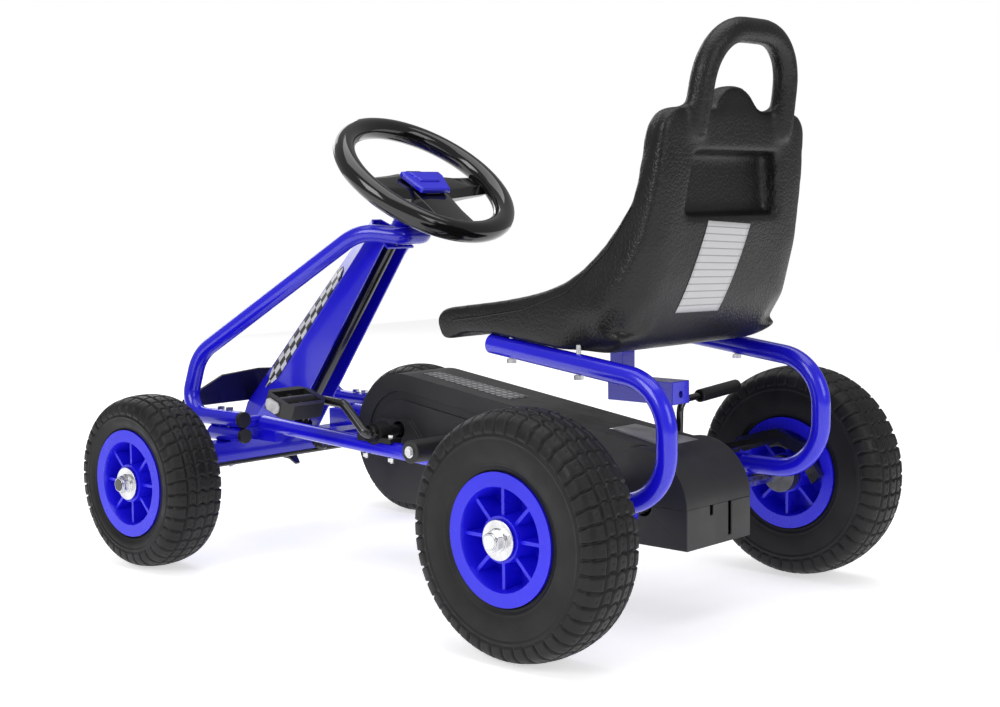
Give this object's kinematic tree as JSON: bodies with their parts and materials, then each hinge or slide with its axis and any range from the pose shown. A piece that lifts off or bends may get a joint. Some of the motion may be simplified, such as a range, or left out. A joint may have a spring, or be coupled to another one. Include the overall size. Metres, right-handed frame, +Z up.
{
  "type": "pedal go kart",
  "caption": "Child's pedal go kart: tube frame, front hoop, fairing-covered steering column, chain case, hand brake and moulded bucket seat with a carrying handle.",
  "frame": {"origin": "on the ground under the middle of the overall box", "axes": "front faces -Y, the driver's left is +X, +Z up"},
  "size_m": [0.664, 0.973, 0.7085],
  "materials": {
    "blue_paint": "gloss",
    "black_paint": "gloss",
    "zinc_steel": "bright zinc",
    "dark_steel": "oiled",
    "tyre_rubber": "matte",
    "grip_rubber": "matte",
    "wheel_plastic": "gloss",
    "seat_plastic": "fine grain",
    "case_plastic": "fine grain",
    "gloss_black": "gloss",
    "reflector": "prismatic",
    "bush_plastic": "satin"
  },
  "bodies": {
    "frame": {"main_frame": "blue_paint", "front_hoop": "blue_paint", "tube_caps": "gloss_black", "frame_bolts": "zinc_steel", "column_head": "blue_paint", "shaft_bushes": "bush_plastic", "column_fairing": "blue_paint", "front_panel": "black_paint", "kingpins": "zinc_steel", "axle_bearings": "zinc_steel", "chain": "dark_steel", "chain_case_left": "case_plastic", "chain_case_right": "case_plastic", "case_tray": "case_plastic", "crank_bearings": "bush_plastic", "foot_rests": "grip_rubber", "foot_rest_bolts": "zinc_steel", "left_seat_tube": "blue_paint", "right_seat_tube": "blue_paint", "seat_bolts": "zinc_steel", "seat": "seat_plastic", "seat_bracket": "blue_paint", "brake_bracket": "blue_paint"},
    "steering": {"steering_shaft": "black_paint", "steering_wheel": "gloss_black", "wheel_cap": "wheel_plastic"},
    "left_steer": {"left_knuckle": "black_paint", "front_left_nut": "zinc_steel"},
    "right_steer": {"right_knuckle": "black_paint", "front_right_nut": "zinc_steel"},
    "tie_link": {"tie_rod": "black_paint"},
    "front_left_wheel": {"front_left_tyre": "tyre_rubber", "front_left_rim": "wheel_plastic", "front_left_inner_tube": "grip_rubber", "front_left_bushes": "bush_plastic"},
    "front_right_wheel": {"front_right_tyre": "tyre_rubber", "front_right_rim": "wheel_plastic", "front_right_inner_tube": "grip_rubber", "front_right_bushes": "bush_plastic"},
    "axle": {"rear_axle": "zinc_steel", "rear_sprocket": "dark_steel", "rear_nuts": "zinc_steel", "rear_left_tyre": "tyre_rubber", "rear_left_rim": "wheel_plastic", "rear_left_inner_tube": "grip_rubber", "rear_left_bushes": "bush_plastic"},
    "rear_right_wheel": {"rear_right_tyre": "tyre_rubber", "rear_right_rim": "wheel_plastic", "rear_right_inner_tube": "grip_rubber", "rear_right_bushes": "bush_plastic", "brake_drum": "dark_steel"},
    "crank": {"crank": "black_paint", "crank_sprocket": "dark_steel"},
    "left_pedal_body": {"left_pedal": "gloss_black", "left_reflectors": "reflector"},
    "right_pedal_body": {"right_pedal": "gloss_black", "right_reflectors": "reflector"},
    "brake": {"brake_lever": "black_paint", "brake_grip": "grip_rubber", "brake_shoe": "grip_rubber"}
  },
  "joints": [
    {"name": "steering_turn", "type": "hinge", "parent": "frame", "child": "steering", "pos_m": [0, -0.3665, 0.154], "axis": [0, 0.6018, 0.7986], "range_deg": [-28, 28]},
    {"name": "left_kingpin", "type": "hinge", "parent": "frame", "child": "left_steer", "pos_m": [0.2, -0.3665, 0.12], "axis": [0, 0, 1], "range_deg": [-25, 25]},
    {"name": "right_kingpin", "type": "hinge", "parent": "frame", "child": "right_steer", "pos_m": [-0.2, -0.3665, 0.12], "axis": [0, 0, 1], "range_deg": [-25, 25]},
    {"name": "tie_rod_swing", "type": "hinge", "parent": "left_steer", "child": "tie_link", "pos_m": [0.2, -0.3121, 0.1368], "axis": [0, 0, 1], "range_deg": [-25, 25]},
    {"name": "front_left_spin", "type": "hinge", "parent": "left_steer", "child": "front_left_wheel", "pos_m": [0.264, -0.3665, 0.12], "axis": [1, 0, 0], "continuous": true},
    {"name": "front_right_spin", "type": "hinge", "parent": "right_steer", "child": "front_right_wheel", "pos_m": [-0.264, -0.3665, 0.12], "axis": [1, 0, 0], "continuous": true},
    {"name": "axle_spin", "type": "hinge", "parent": "frame", "child": "axle", "pos_m": [0, 0.3465, 0.14], "axis": [1, 0, 0], "continuous": true},
    {"name": "rear_right_spin", "type": "hinge", "parent": "axle", "child": "rear_right_wheel", "pos_m": [-0.278, 0.3465, 0.14], "axis": [1, 0, 0], "continuous": true},
    {"name": "crank_spin", "type": "hinge", "parent": "frame", "child": "crank", "pos_m": [0, -0.085, 0.192], "axis": [1, 0, 0], "continuous": true},
    {"name": "left_pedal_spin", "type": "hinge", "parent": "crank", "child": "left_pedal_body", "pos_m": [0.162, -0.173, 0.2328], "axis": [1, 0, 0], "continuous": true},
    {"name": "right_pedal_spin", "type": "hinge", "parent": "crank", "child": "right_pedal_body", "pos_m": [-0.162, 0.003, 0.1512], "axis": [1, 0, 0], "continuous": true},
    {"name": "brake_pull", "type": "hinge", "parent": "frame", "child": "brake", "pos_m": [-0.15, 0.282, 0.173], "axis": [1, 0, 0], "range_deg": [-8.5, 0]}
  ],
  "couplings": [
    {"joint": "left_kingpin", "follows": "steering_turn", "ratio": 0.89154},
    {"joint": "right_kingpin", "follows": "steering_turn", "ratio": 0.89154},
    {"joint": "tie_rod_swing", "follows": "steering_turn", "ratio": -0.89154},
    {"joint": "crank_spin", "follows": "axle_spin", "ratio": 0.64286}
  ]
}
